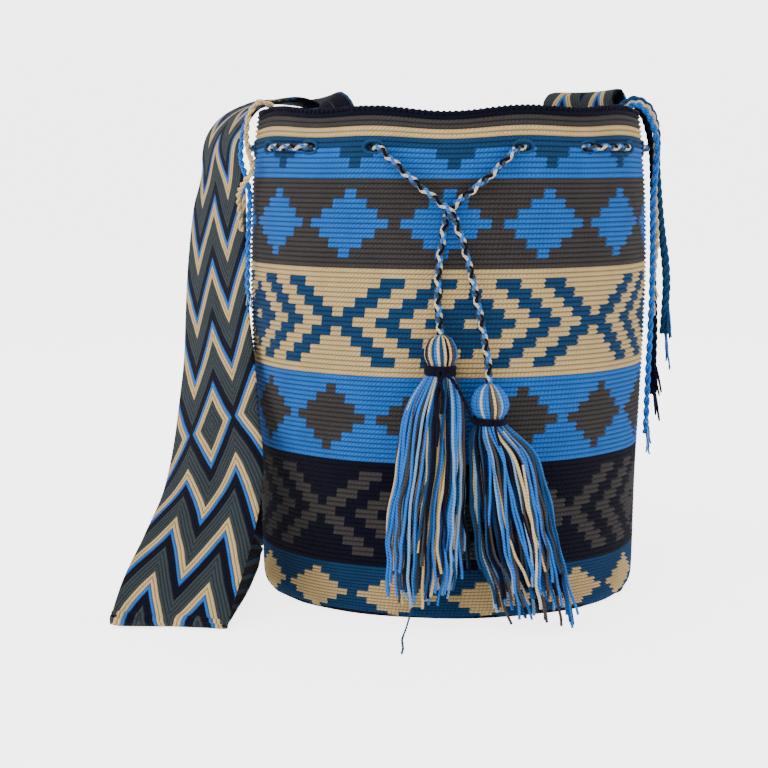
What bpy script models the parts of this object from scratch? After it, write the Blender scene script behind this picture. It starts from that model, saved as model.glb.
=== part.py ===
"""A crocheted round mochila shoulder bag: an open bag on a round flat base, a woven strap
sewn in at its mouth, a drawstring through its eyelets, and two yarn tassels.

Metres, +Z up. The origin is the middle of the base, and the front of the bag faces -Y.
An angle round the bag is measured from the front, and grows towards +X.
"""

import math

import bmesh
import bpy
import numpy as np
from mathutils import Vector

CM = 0.01
GAP = 0.0003                 # between pieces that touch

# Bag: the outer profile is (radius, height) in centimetres, from the base up to the rim
BAG_PROFILE_CM = [
    (11.9, 0.0), (12.4, 0.12), (12.72, 0.5), (12.87, 1.1), (12.92, 2.0), (13.0, 4.0),
    (13.15, 8.0), (13.35, 12.0), (13.55, 17.0), (13.7, 22.5), (13.65, 27.0), (13.45, 30.0),
    (13.3, 31.6), (13.1, 32.9),
]
RIM_HEIGHT = 0.330
WALL = 0.0035
BAG_SIDES = 72

# Eyelets and drawstring
EYELETS = 16
FIRST_EYELET = math.radians(20.8)    # the drawstring's two ends leave here, left and right
EYELET_HEIGHT = 0.3045
EYELET_RADIUS = 0.1325                # the middle of the wall there
EYELET_WIDTH, EYELET_TALL = 0.0136, 0.0085
CORD = 0.0055
CORD_OUTSIDE, CORD_INSIDE = 0.1377, 0.1263
CORD_STEP = 0.0065                   # how far along the wall the cord passes through it

# Strap
STRAP_WIDTH, STRAP_THICK = 0.075, 0.0038
STRAP_ACROSS = 6                     # faces across its width

# Tassels and their cords swing together from just in front of where the cords cross, so that
# no end rises into the cord above it
CROSSING = Vector((0.002, -0.15, 0.26))


# ---------------------------------------------------------------- helpers

def clear_scene():
    for obj in list(bpy.data.objects):
        bpy.data.objects.remove(obj, do_unlink=True)


def material(name, colour, roughness=0.9):
    made = bpy.data.materials.new(name)
    made.use_nodes = True
    shader = made.node_tree.nodes["Principled BSDF"]
    shader.inputs["Base Color"].default_value = (*colour, 1.0)
    shader.inputs["Roughness"].default_value = roughness
    shader.inputs["Metallic"].default_value = 0.0
    return made


def add_mesh(name, mesh_maker, finish):
    mesh = bpy.data.meshes.new(name)
    mesh_maker.normal_update()
    mesh_maker.to_mesh(mesh)
    mesh_maker.free()
    obj = bpy.data.objects.new(name, mesh)
    bpy.context.scene.collection.objects.link(obj)
    mesh.shade_smooth()
    if finish:
        mesh.materials.append(finish)
    return obj


def place_on(obj, pivot):
    """Parents a moving piece to the empty on its joint's axis, and leaves it where it is."""
    obj.parent = pivot
    obj.matrix_parent_inverse = pivot.matrix_world.inverted()


def catmull(points, steps):
    """The smooth curve through the points, with that many steps between each two."""
    p = np.array(points, float)
    p = np.vstack([2 * p[0] - p[1], p, 2 * p[-1] - p[-2]])
    curve = []
    for k in range(1, len(p) - 2):
        a, b, c, d = p[k - 1:k + 3]
        for t in np.arange(steps) / steps:
            curve.append(0.5 * (2 * b + (c - a) * t + (2 * a - 5 * b + 4 * c - d) * t ** 2
                                + (3 * b - a - 3 * c + d) * t ** 3))
    curve.append(p[-2])
    return np.array(curve)


def spaced(line, gap):
    """The same line with its points about that gap apart."""
    along = np.concatenate([[0], np.cumsum(np.linalg.norm(np.diff(line, axis=0), axis=1))])
    at = np.linspace(0, along[-1], max(3, round(along[-1] / gap) + 1))
    return np.stack([np.interp(at, along, line[:, k]) for k in range(3)], axis=1)


def round_bag(angle, radius, height):
    return (radius * math.sin(angle), -radius * math.cos(angle), height)


def tube(name, line, diameter, finish, pivot=None):
    """A cord's plain tube along a line of points."""
    curve = bpy.data.curves.new(name, "CURVE")
    curve.dimensions = "3D"
    curve.bevel_depth = diameter / 2
    curve.bevel_resolution = 2
    curve.use_fill_caps = True
    spline = curve.splines.new("POLY")
    spline.points.add(len(line) - 1)
    for point, place in zip(spline.points, line):
        point.co = (*place, 1.0)
    curve.materials.append(finish)
    obj = bpy.data.objects.new(name, curve)
    bpy.context.scene.collection.objects.link(obj)
    if pivot:
        place_on(obj, pivot)
    return obj


def bridge(maker, first, second):
    count = len(first)
    for k in range(count):
        maker.faces.new((first[k], first[(k + 1) % count], second[(k + 1) % count], second[k]))


# ---------------------------------------------------------------- bag

def make_bag(finish):
    """The bag is one crocheted shell: base, wall and rim are turned about the Z axis."""
    outer = [(r * CM, z * CM) for r, z in BAG_PROFILE_CM]
    inner = [(r - WALL, max(z, WALL)) for r, z in outer if z > 0.4 * CM]
    inner.insert(0, (outer[0][0] - 0.3 * WALL, WALL))
    rim = [(outer[-1][0] - 0.28 * WALL, RIM_HEIGHT), (inner[-1][0] + 0.28 * WALL, RIM_HEIGHT)]
    profile = outer + rim + inner[::-1]
    maker = bmesh.new()
    rings = []
    for radius, height in profile:
        rings.append([
            maker.verts.new(round_bag(2 * math.pi * k / BAG_SIDES, radius, height))
            for k in range(BAG_SIDES)
        ])
    for lower, upper in zip(rings, rings[1:]):
        bridge(maker, lower, upper)
    maker.faces.new(rings[0][::-1])
    maker.faces.new(rings[-1])
    bmesh.ops.recalc_face_normals(maker, faces=maker.faces)
    bag = add_mesh("bag_body", maker, finish)
    cutters = make_eyelet_cutters()
    holes = bag.modifiers.new("eyelets", "BOOLEAN")
    holes.operation = "DIFFERENCE"
    holes.solver = "EXACT"
    holes.object = cutters
    return bag


def eyelet_angles():
    """The eyelets' angles, from the left front one round the back to the right front one."""
    pitch = (2 * math.pi - 2 * FIRST_EYELET) / (EYELETS - 1)
    return [-FIRST_EYELET - pitch * k for k in range(EYELETS)]


def make_eyelet_cutters():
    """Radial pegs with an oval section, one for each eyelet."""
    maker = bmesh.new()
    for angle in eyelet_angles():
        along = Vector((math.cos(angle), math.sin(angle), 0))
        rings = []
        for radius in (EYELET_RADIUS - 0.01, EYELET_RADIUS + 0.01):
            centre = Vector(round_bag(angle, radius, EYELET_HEIGHT))
            ring = []
            for k in range(12):
                turn = 2 * math.pi * k / 12
                side = along * (math.cos(turn) * EYELET_WIDTH / 2)
                up = Vector((0, 0, math.sin(turn) * EYELET_TALL / 2))
                ring.append(maker.verts.new(centre + side + up))
            rings.append(ring)
        bridge(maker, *rings)
        maker.faces.new(rings[0][::-1])
        maker.faces.new(rings[1])
    bmesh.ops.recalc_face_normals(maker, faces=maker.faces)
    cutters = add_mesh("eyelet_cutters", maker, None)
    cutters.hide_render = True
    cutters.display_type = "WIRE"
    return cutters


# ---------------------------------------------------------------- strap

# Centre of the strap, the direction across it towards its right edge, and its curl, in
# centimetres: from where it is sewn in at the back left, over the rim, down the left side to
# the fold on the floor, back along the floor, and up the back to the right of the mouth.
STRAP_STATIONS = [
    (-9.78, 7.64, 31.1, -0.616, -0.788, 0.0, -0.078),
    (-9.78, 7.64, 32.2, -0.616, -0.788, 0.0, -0.078),
    (-9.85, 7.68, 33.2, -0.61, -0.79, 0.0, -0.07),
    (-11.0, 7.55, 33.75, 0.1, -0.98, 0.0, 0.0),
    (-12.9, 6.1, 33.8, 0.35, -0.93, 0.0, 0.0),
    (-15.1, 4.35, 32.8, 0.38, -0.92, 0.03, 0.0),
    (-16.3, 3.0, 30.7, 0.36, -0.93, -0.1, 0.03),
    (-16.35, 2.0, 27.5, 0.54, -0.84, 0.0, 0.025),
    (-16.45, 1.0, 23.5, 0.61, -0.79, 0.03, 0.025),
    (-16.35, -0.6, 19.5, 0.64, -0.77, 0.03, 0.025),
    (-16.1, -2.6, 15.5, 0.68, -0.73, 0.02, 0.025),
    (-15.9, -5.6, 11.6, 0.74, -0.67, 0.0, 0.03),
    (-15.7, -9.0, 8.0, 0.88, -0.47, 0.0, 0.02),
    (-16.3, -12.0, 5.0, 0.97, -0.25, 0.0, 0.01),
    (-17.1, -14.3, 2.5, 0.995, -0.08, 0.0, 0.0),
    (-17.5, -15.5, 1.1, 1.0, -0.05, 0.0, 0.0),
    (-17.6, -15.95, 0.7, 1.0, -0.04, 0.0, 0.0),
    (-17.62, -16.0, 0.5, 1.0, -0.03, 0.0, 0.0),
    (-17.64, -15.8, 0.34, 1.0, -0.02, 0.0, 0.0),
    (-17.65, -15.2, 0.26, 1.0, 0.0, 0.0, 0.0),
    (-17.6, -12.0, 0.2, 1.0, 0.0, 0.0, 0.0),
    (-17.4, -5.0, 0.22, 1.0, 0.0, 0.0, 0.0),
    (-17.4, 2.0, 0.4, 1.0, 0.0, -0.02, 0.0),
    (-17.3, 6.8, 1.95, 0.92, 0.0, -0.38, 0.0),
    (-16.0, 10.6, 3.5, 0.6, 0.25, -0.76, 0.0),
    (-12.6, 13.6, 4.2, 0.2, 0.2, -0.96, 0.0),
    (-8.0, 15.0, 4.8, 0.1, 0.05, -0.99, 0.0),
    (-2.56, 15.37, 6.6, 0.32, 0.0, -0.95, 0.0),
    (2.17, 14.97, 9.8, 0.58, -0.1, -0.8, 0.01),
    (5.52, 13.79, 14.0, 0.7, -0.36, -0.62, 0.025),
    (7.79, 12.37, 18.6, 0.72, -0.53, -0.45, 0.04),
    (9.55, 11.2, 23.2, 0.69, -0.65, -0.3, 0.05),
    (10.67, 9.93, 27.4, 0.66, -0.74, -0.15, 0.06),
    (11.38, 8.98, 30.6, 0.62, -0.785, 0.0, 0.06),
    (11.1, 8.7, 32.6, 0.616, -0.788, 0.0, 0.045),
    (10.54, 8.28, 34.0, 0.616, -0.788, 0.0, 0.02),
    (10.04, 7.89, 34.4, 0.616, -0.788, 0.0, -0.02),
    (9.75, 7.62, 33.9, 0.616, -0.788, 0.0, -0.06),
    (9.76, 7.62, 33.0, 0.616, -0.788, 0.0, -0.078),
    (9.76, 7.62, 31.1, 0.616, -0.788, 0.0, -0.078),
]


def strap_frames(steps):
    """Centre, direction across, direction out of the patterned face, and curl, station by station."""
    stations = catmull(STRAP_STATIONS, steps)
    centres, across, curls = stations[:, :3] * CM, stations[:, 3:6], stations[:, 6] / CM
    along = np.gradient(centres, axis=0)
    along /= np.linalg.norm(along, axis=1)[:, None]
    across = across - (across * along).sum(1)[:, None] * along
    across /= np.linalg.norm(across, axis=1)[:, None]
    return centres, across, np.cross(along, across), curls


def make_strap(finish):
    """A long woven band, flat in section where it is free and curled where it follows the wall."""
    maker = bmesh.new()
    rings = []
    places = np.linspace(-0.5, 0.5, STRAP_ACROSS + 1) * STRAP_WIDTH
    for centre, side, out, curl in zip(*strap_frames(3)):
        line = [centre + side * w - out * (curl * w * w / 2) for w in places]
        slopes = [out + side * (curl * w) for w in places]
        face = [p + n / np.linalg.norm(n) * STRAP_THICK / 2 for p, n in zip(line, slopes)]
        back = [p - n / np.linalg.norm(n) * STRAP_THICK / 2 for p, n in zip(line, slopes)]
        rings.append([maker.verts.new(p) for p in face + back[::-1]])
    for first, second in zip(rings, rings[1:]):
        bridge(maker, first, second)
    for ring in (rings[0], rings[-1]):
        for k in range(STRAP_ACROSS):
            maker.faces.new((ring[k], ring[k + 1], ring[-2 - k], ring[-1 - k]))
    bmesh.ops.recalc_face_normals(maker, faces=maker.faces)
    return add_mesh("strap", maker, finish)


# ---------------------------------------------------------------- drawstring

# From an eyelet to the crossing, as (angle in degrees, radius and height in centimetres).
# The left end passes over the right one.
LEFT_FREE = [(-18.1, 13.8, 30.4), (-15.2, 14.1, 29.75), (-11.8, 14.2, 29.0), (-8.2, 14.3, 28.2),
             (-4.4, 14.45, 27.4), (-1.0, 14.65, 26.8), (1.6, 14.7, 26.3)]
RIGHT_FREE = [(18.1, 13.8, 30.4), (15.4, 14.02, 29.7), (12.4, 14.1, 29.0), (8.2, 14.1, 28.1),
              (4.6, 14.1, 27.4), (1.6, 14.08, 26.8), (-0.5, 14.1, 26.3)]

# Below the crossing, in centimetres, down to the top of each tassel
RIGHT_END = [(0.45, -14.7, 25.8), (0.75, -14.6, 25.0), (1.06, -14.5, 24.0), (1.4, -14.47, 22.7),
             (1.72, -14.47, 21.3), (2.0, -14.47, 20.0), (2.25, -14.5, 18.7), (2.46, -14.62, 17.5),
             (2.58, -14.8, 16.5), (2.62, -14.92, 15.62)]
LEFT_END = [(-0.15, -14.12, 25.8), (-0.3, -14.18, 25.0), (-0.45, -14.22, 24.0), (-0.58, -14.26, 22.8),
            (-0.64, -14.3, 21.6), (-0.62, -14.4, 20.4), (-0.52, -14.62, 19.4), (-0.44, -14.82, 18.7)]


def threaded():
    """The stretch through the eyelets: the cord passes the wall at each one, first inwards."""
    angles = eyelet_angles()
    turn = CORD_STEP / EYELET_RADIUS
    middle = (CORD_OUTSIDE + CORD_INSIDE) / 2
    points = []
    for k, angle in enumerate(angles):
        before, after = (CORD_OUTSIDE, CORD_INSIDE) if k % 2 == 0 else (CORD_INSIDE, CORD_OUTSIDE)
        if k:
            points.append(round_bag(angle + turn, before, EYELET_HEIGHT))
        points.append(round_bag(angle, middle, EYELET_HEIGHT))
        if k < EYELETS - 1:
            points.append(round_bag(angle - turn, after, EYELET_HEIGHT))
            points.append(round_bag((angle + angles[k + 1]) / 2, after, EYELET_HEIGHT))
    return np.array(points)


def make_drawstring(finish):
    left = [round_bag(math.radians(a), r * CM, z * CM) for a, r, z in LEFT_FREE[::-1]]
    right = [round_bag(math.radians(a), r * CM, z * CM) for a, r, z in RIGHT_FREE]
    left = spaced(catmull(left, 8), 0.012)
    right = spaced(catmull(right, 8), 0.012)
    line = np.vstack([at_crossing(left[0], GAP / 2), left, threaded(), right,
                      at_crossing(right[-1], GAP / 2)])
    return tube("drawstring", line, CORD, finish)


def at_crossing(point, above):
    """The point straight above or below that one, beside the crossing."""
    return (point[0], point[1], CROSSING.z + above)


def cord_route(points, gap):
    return spaced(catmull(np.array(points) * CM, 8), gap)


def make_cord_end(name, points, finish, pivot):
    line = cord_route(points, 0.013)
    return tube(name, np.vstack([at_crossing(line[0], -GAP / 2), line]), CORD, finish, pivot)


# ---------------------------------------------------------------- tassels

# Height, middle x, middle y, half width and half depth of a tassel's yarn, in centimetres
LEFT_TASSEL = [
    (18.62, -0.43, -14.87, 0.35, 0.35), (18.4, -0.43, -14.87, 0.75, 0.75),
    (17.95, -0.43, -14.87, 1.0, 1.0), (17.5, -0.43, -14.87, 1.06, 1.05),
    (17.1, -0.43, -14.87, 0.98, 0.98), (16.93, -0.43, -14.87, 0.82, 0.82),
    (16.07, -0.44, -14.9, 0.82, 0.82), (15.6, -0.5, -15.02, 1.3, 1.12),
    (14.15, -0.8, -15.17, 1.95, 1.33), (10.0, -1.1, -15.22, 2.35, 1.6),
    (5.9, -1.4, -15.32, 2.6, 1.8), (3.0, -1.5, -15.42, 2.65, 1.85), (1.5, -1.55, -15.42, 2.45, 1.7),
]
RIGHT_TASSEL = [
    (15.55, 2.63, -14.92, 0.38, 0.38), (15.25, 2.63, -14.92, 0.85, 0.85),
    (14.75, 2.65, -14.92, 1.16, 1.1), (14.3, 2.66, -14.94, 1.25, 1.15),
    (13.85, 2.66, -14.96, 1.12, 1.08), (13.63, 2.67, -14.98, 0.9, 0.9),
    (12.97, 2.68, -15.0, 0.9, 0.9), (12.5, 2.8, -15.07, 1.4, 1.2),
    (11.5, 3.5, -15.17, 2.1, 1.45), (7.35, 4.2, -15.27, 2.7, 1.7),
    (3.2, 5.1, -15.42, 2.75, 1.85), (1.5, 5.5, -15.72, 2.6, 1.8), (0.4, 5.7, -16.12, 2.35, 1.6),
]
TASSEL_SIDES = 16


def make_tassel(name, stations, finish, pivot):
    """A bundle of yarn folded over the cord's end: a round head, a tied neck and a skirt."""
    maker = bmesh.new()
    rings = []
    for z, x, y, half_wide, half_deep in stations:
        ring = []
        for k in range(TASSEL_SIDES):
            turn = 2 * math.pi * k / TASSEL_SIDES
            ring.append(maker.verts.new((
                (x + half_wide * math.sin(turn)) * CM, (y - half_deep * math.cos(turn)) * CM, z * CM,
            )))
        rings.append(ring)
    for upper, lower in zip(rings, rings[1:]):
        bridge(maker, upper, lower)
    maker.faces.new(rings[0])
    maker.faces.new(rings[-1][::-1])
    bmesh.ops.recalc_face_normals(maker, faces=maker.faces)
    obj = add_mesh(name, maker, finish)
    place_on(obj, pivot)
    return obj


def make_tie(name, top, bottom, neck, thick, finish, pivot):
    """The yarn wound round a tassel's neck, as one ring."""
    x, y, half = neck
    inner, outer = half * CM + GAP, half * CM + GAP + thick
    top, bottom = top * CM, bottom * CM
    soft = 0.3 * thick
    section = [(inner, bottom), (outer - soft, bottom), (outer, bottom + soft),
               (outer, top - soft), (outer - soft, top), (inner, top)]
    maker = bmesh.new()
    rings = []
    for radius, height in section:
        rings.append([
            maker.verts.new((x * CM + radius * math.sin(2 * math.pi * k / 20),
                             y * CM - radius * math.cos(2 * math.pi * k / 20), height))
            for k in range(20)
        ])
    for first, second in zip(rings, rings[1:] + rings[:1]):
        bridge(maker, first, second)
    bmesh.ops.recalc_face_normals(maker, faces=maker.faces)
    obj = add_mesh(name, maker, finish)
    place_on(obj, pivot)
    return obj


LINK_YARN = [(-0.1, -16.18, 16.4), (0.3, -16.34, 16.0), (0.75, -16.4, 15.3), (1.1, -16.37, 14.6),
             (1.35, -16.24, 13.95), (1.5, -16.02, 13.4)]
LONG_STRAND = [(-2.2, -15.52, 1.42), (-2.35, -15.92, 0.9), (-2.5, -16.52, 0.45), (-2.65, -17.32, 0.16),
               (-2.75, -18.42, 0.09), (-2.72, -19.62, 0.09), (-2.65, -20.82, 0.09), (-2.7, -22.22, 0.09)]

# ---------------------------------------------------------------- the strap's loose end cords

# Each comes over the rim from the strap's sewn end and hangs outside the bag: name, diameter in
# metres, colour, and its route in centimetres.
END_CORDS = [
    ("end_cord_beige_right", 0.0045, "beige", [
        (12.44, 2.95, 33.35), (13.24, 2.6, 33.65), (13.99, 2.0, 33.2), (14.42, 1.6, 32.2),
        (14.49, 1.2, 30.9), (14.49, 0.8, 29.6), (14.36, 0.5, 28.2), (14.39, 0.4, 26.8),
        (14.49, 0.4, 25.2), (14.54, 0.4, 23.8), (14.42, 0.4, 22.6), (14.34, 0.4, 21.4),
        (14.29, 0.4, 20.2)]),
    ("end_cord_teal_right", 0.006, "teal", [
        (12.24, 3.75, 33.45), (13.24, 3.5, 33.9), (14.24, 3.1, 33.2), (14.69, 2.9, 31.6),
        (14.69, 2.8, 29.9), (14.79, 2.7, 28.0), (14.94, 2.6, 26.2), (15.14, 2.5, 24.4),
        (15.39, 2.4, 22.6), (15.49, 2.4, 20.9), (15.44, 2.4, 19.2), (15.34, 2.4, 17.4)]),
    ("end_cord_navy_right", 0.005, "navy", [
        (12.09, 4.6, 33.35), (12.99, 4.45, 33.7), (13.84, 4.3, 32.9), (14.34, 4.1, 31.3),
        (14.54, 3.9, 29.6), (14.59, 3.7, 27.6), (14.59, 3.4, 25.6), (14.59, 3.1, 23.5),
        (14.59, 2.8, 21.4), (14.59, 1.9, 19.3), (14.59, 1.6, 17.2), (14.54, 1.4, 15.2),
        (14.49, 1.3, 13.2)]),
    ("end_cord_blue_right", 0.0045, "blue", [
        (12.49, 2.1, 33.3), (13.14, 1.5, 33.5), (13.74, 0.9, 33.0), (14.24, 0.3, 31.9),
        (14.46, -0.25, 30.4), (14.32, -0.5, 28.8), (14.16, -0.6, 26.8), (14.19, -0.6, 24.8),
        (14.19, -0.6, 22.6), (14.16, -0.6, 20.2), (14.09, -0.55, 17.6), (13.99, -0.5, 15.0),
        (13.94, -0.4, 12.6), (13.89, -0.3, 10.6)]),
    ("end_cord_beige_left", 0.004, "beige", [
        (-11.94, -2.6, 33.3), (-12.84, -2.9, 33.55), (-13.49, -3.2, 32.8), (-13.69, -3.6, 31.5),
        (-13.49, -4.6, 30.3), (-13.14, -5.6, 29.5), (-13.14, -5.9, 28.8), (-13.74, -5.2, 28.1),
        (-14.19, -4.1, 27.3), (-14.24, -3.1, 26.2), (-14.19, -2.5, 24.8)]),
    ("end_cord_blue_left", 0.004, "blue", [
        (-12.14, -1.4, 33.3), (-13.04, -1.6, 33.6), (-13.69, -2.0, 32.8), (-14.09, -2.5, 31.2),
        (-14.14, -3.0, 29.7), (-13.69, -4.1, 28.5), (-13.39, -4.75, 27.4), (-13.44, -4.7, 26.2),
        (-13.49, -4.6, 25.0), (-13.54, -4.6, 23.6), (-13.59, -4.5, 22.2), (-13.64, -4.3, 20.6)]),
]


# ---------------------------------------------------------------- the whole bag

def main():
    clear_scene()
    navy = (0.008, 0.009, 0.03)
    colours = {
        "beige": (0.76, 0.55, 0.29), "teal": (0.01, 0.07, 0.19), "navy": navy,
        "blue": (0.03, 0.21, 0.73),
    }
    crochet = material("crochet_cotton", (0.05, 0.22, 0.55))
    weave = material("strap_weave", (0.06, 0.075, 0.09))
    braid = material("drawstring_braid", (0.25, 0.28, 0.34))
    yarn = material("tassel_yarn", (0.30, 0.36, 0.45))
    dark = material("tie_yarn", navy)

    make_bag(crochet)
    make_strap(weave)
    make_drawstring(braid)
    for name, diameter, colour, route in END_CORDS:
        tube(name, cord_route(route, 2.6 * diameter), diameter, material(name, colours[colour]))

    pivot = bpy.data.objects.new("tassels_pivot", None)
    pivot.location = CROSSING
    bpy.context.scene.collection.objects.link(pivot)
    bpy.context.view_layer.update()
    make_cord_end("drawstring_end_left", LEFT_END, braid, pivot)
    make_cord_end("drawstring_end_right", RIGHT_END, braid, pivot)
    make_tassel("tassel_left", LEFT_TASSEL, yarn, pivot)
    make_tassel("tassel_right", RIGHT_TASSEL, yarn, pivot)
    make_tie("tassel_left_tie", 16.9, 16.1, (-0.435, -14.885, 0.83), 0.0021, dark, pivot)
    make_tie("tassel_right_tie", 13.6, 13.0, (2.675, -14.99, 0.91), 0.0017, dark, pivot)
    tube("tassel_link_yarn", cord_route(LINK_YARN, 0.006), 0.0026, dark, pivot)
    tube("tassel_long_strand", cord_route(LONG_STRAND, 0.006), 0.0016,
         material("long_strand_yarn", colours["teal"]), pivot)


main()
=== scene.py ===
import math

import bmesh
import bpy
import numpy as np
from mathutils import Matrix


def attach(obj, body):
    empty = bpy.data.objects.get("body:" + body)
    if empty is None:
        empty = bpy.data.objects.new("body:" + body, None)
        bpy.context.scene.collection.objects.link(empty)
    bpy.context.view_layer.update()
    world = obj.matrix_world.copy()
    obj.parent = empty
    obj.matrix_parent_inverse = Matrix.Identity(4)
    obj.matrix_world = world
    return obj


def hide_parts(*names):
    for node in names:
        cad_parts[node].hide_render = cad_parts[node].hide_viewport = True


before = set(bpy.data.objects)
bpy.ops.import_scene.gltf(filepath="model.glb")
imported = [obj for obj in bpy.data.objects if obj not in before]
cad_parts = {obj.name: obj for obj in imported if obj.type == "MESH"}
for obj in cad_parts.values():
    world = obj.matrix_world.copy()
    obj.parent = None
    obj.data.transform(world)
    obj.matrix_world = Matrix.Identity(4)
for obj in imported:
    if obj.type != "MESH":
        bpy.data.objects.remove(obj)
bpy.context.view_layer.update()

# A crocheted mochila bag on a pale floor, with its woven strap, its drawstring through the
# eyelets, two tassels and the loose end cords

cm = 0.01
tau = 2 * math.pi

colours = {
    "blue": (46, 125, 222),
    "paleBlue": (138, 182, 226),
    "teal": (30, 75, 120),
    "grey": (75, 70, 70),
    "lightGrey": (112, 112, 112),
    "beige": (242, 208, 148),
    "cream": (233, 219, 188),
    "navy": (12, 12, 35),
    "strapGrey": (65, 75, 80),
}


# The named colour in scene-linear values
def linear(name):
    return tuple((v / 255 / 12.92) if v < 10.3 else ((v / 255 + 0.055) / 1.055) ** 2.4
                 for v in colours[name])


camera = {"place": (0, -1.40, 0.293), "lens": 93.75, "down": 6.25, "left": 1.83}


def makeCamera():
    data = bpy.data.cameras.new("view")
    data.lens = camera["lens"]
    data.sensor_width = 36
    data.clip_start, data.clip_end = 0.05, 30
    obj = bpy.data.objects.new("view", data)
    obj.location = camera["place"]
    obj.rotation_euler = (math.radians(90 - camera["down"]), 0, math.radians(camera["left"]))
    bpy.context.scene.collection.objects.link(obj)
    bpy.context.scene.camera = obj


lamps = [
    # name, place, size in metres, power in watts
    ("softAbove", (-0.5, -1.3, 1.9), 1.6, 29),
    ("softLeft", (-1.8, -0.9, 0.9), 1.2, 13),
    ("softRight", (1.9, -0.7, 1.0), 1.2, 11),
    ("softBack", (0.2, 1.5, 1.6), 1.3, 12),
]


def makeLamps():
    for name, place, size, power in lamps:
        data = bpy.data.lights.new(name, "AREA")
        data.size, data.energy = size, power
        obj = bpy.data.objects.new(name, data)
        obj.location = place
        away = np.array(place) - (0, 0, 0.17)
        obj.rotation_euler = (math.acos(away[2] / np.linalg.norm(away)), 0,
                              math.atan2(away[1], away[0]) + math.pi / 2)
        bpy.context.scene.collection.objects.link(obj)
    world = bpy.data.worlds.new("paleRoom")
    world.use_nodes = True
    world.node_tree.nodes["Background"].inputs["Color"].default_value = (1, 1, 1, 1)
    world.node_tree.nodes["Background"].inputs["Strength"].default_value = 0.76
    bpy.context.scene.world = world


makeCamera()
makeLamps()


def catmull(points, steps):
    p = np.array(points, float)
    p = np.vstack([2 * p[0] - p[1], p, 2 * p[-1] - p[-2]])
    t = np.arange(steps)[:, None] / steps
    spans = [
        0.5 * (2 * b + (c - a) * t + (2 * a - 5 * b + 4 * c - d) * t ** 2
               + (3 * b - a - 3 * c + d) * t ** 3)
        for a, b, c, d in zip(p, p[1:], p[2:], p[3:])
    ]
    return np.vstack(spans + [p[-2:-1]])


def lengths(line):
    return np.concatenate([[0], np.cumsum(np.linalg.norm(np.diff(line, axis=0), axis=1))])


def spaced(line, gap):
    along = lengths(line)
    at = np.linspace(0, along[-1], max(3, round(along[-1] / gap) + 1))
    return np.stack([np.interp(at, along, line[:, k]) for k in range(line.shape[1])], axis=1)


def unit(v):
    return v / np.linalg.norm(v, axis=-1, keepdims=True)


# Two directions across the line at each point, turning as little as they can
def lineFrames(line):
    tangent = unit(np.gradient(line, axis=0))
    side = np.cross(tangent[0], (0.3, 0.2, 0.9))
    sides = []
    for t in tangent:
        side = unit(side - np.dot(side, t) * t)
        sides.append(side)
    sides = np.array(sides)
    return sides, np.cross(tangent, sides)


def roundBag(angle, radius, height):
    return np.stack([radius * np.sin(angle), -radius * np.cos(angle),
                     height + 0 * angle], axis=-1)


# Adds a node; links are (input, socket) pairs, and values are the node's own settings
def wire(tree, kind, links=(), **values):
    node = tree.nodes.new(kind)
    for key, value in values.items():
        setattr(node, key, value)
    for key, source in dict(links).items():
        if isinstance(source, bpy.types.NodeSocket):
            tree.links.new(source, node.inputs[key])
        else:
            node.inputs[key].default_value = source
    return node


def groupSockets(tree, inputs, outputs):
    for direction, sockets in (("INPUT", inputs), ("OUTPUT", outputs)):
        for name, kind in sockets:
            tree.interface.new_socket(name, in_out=direction, socket_type="NodeSocket" + kind)
    return tree.nodes.new("NodeGroupInput").outputs, tree.nodes.new("NodeGroupOutput").inputs


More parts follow.
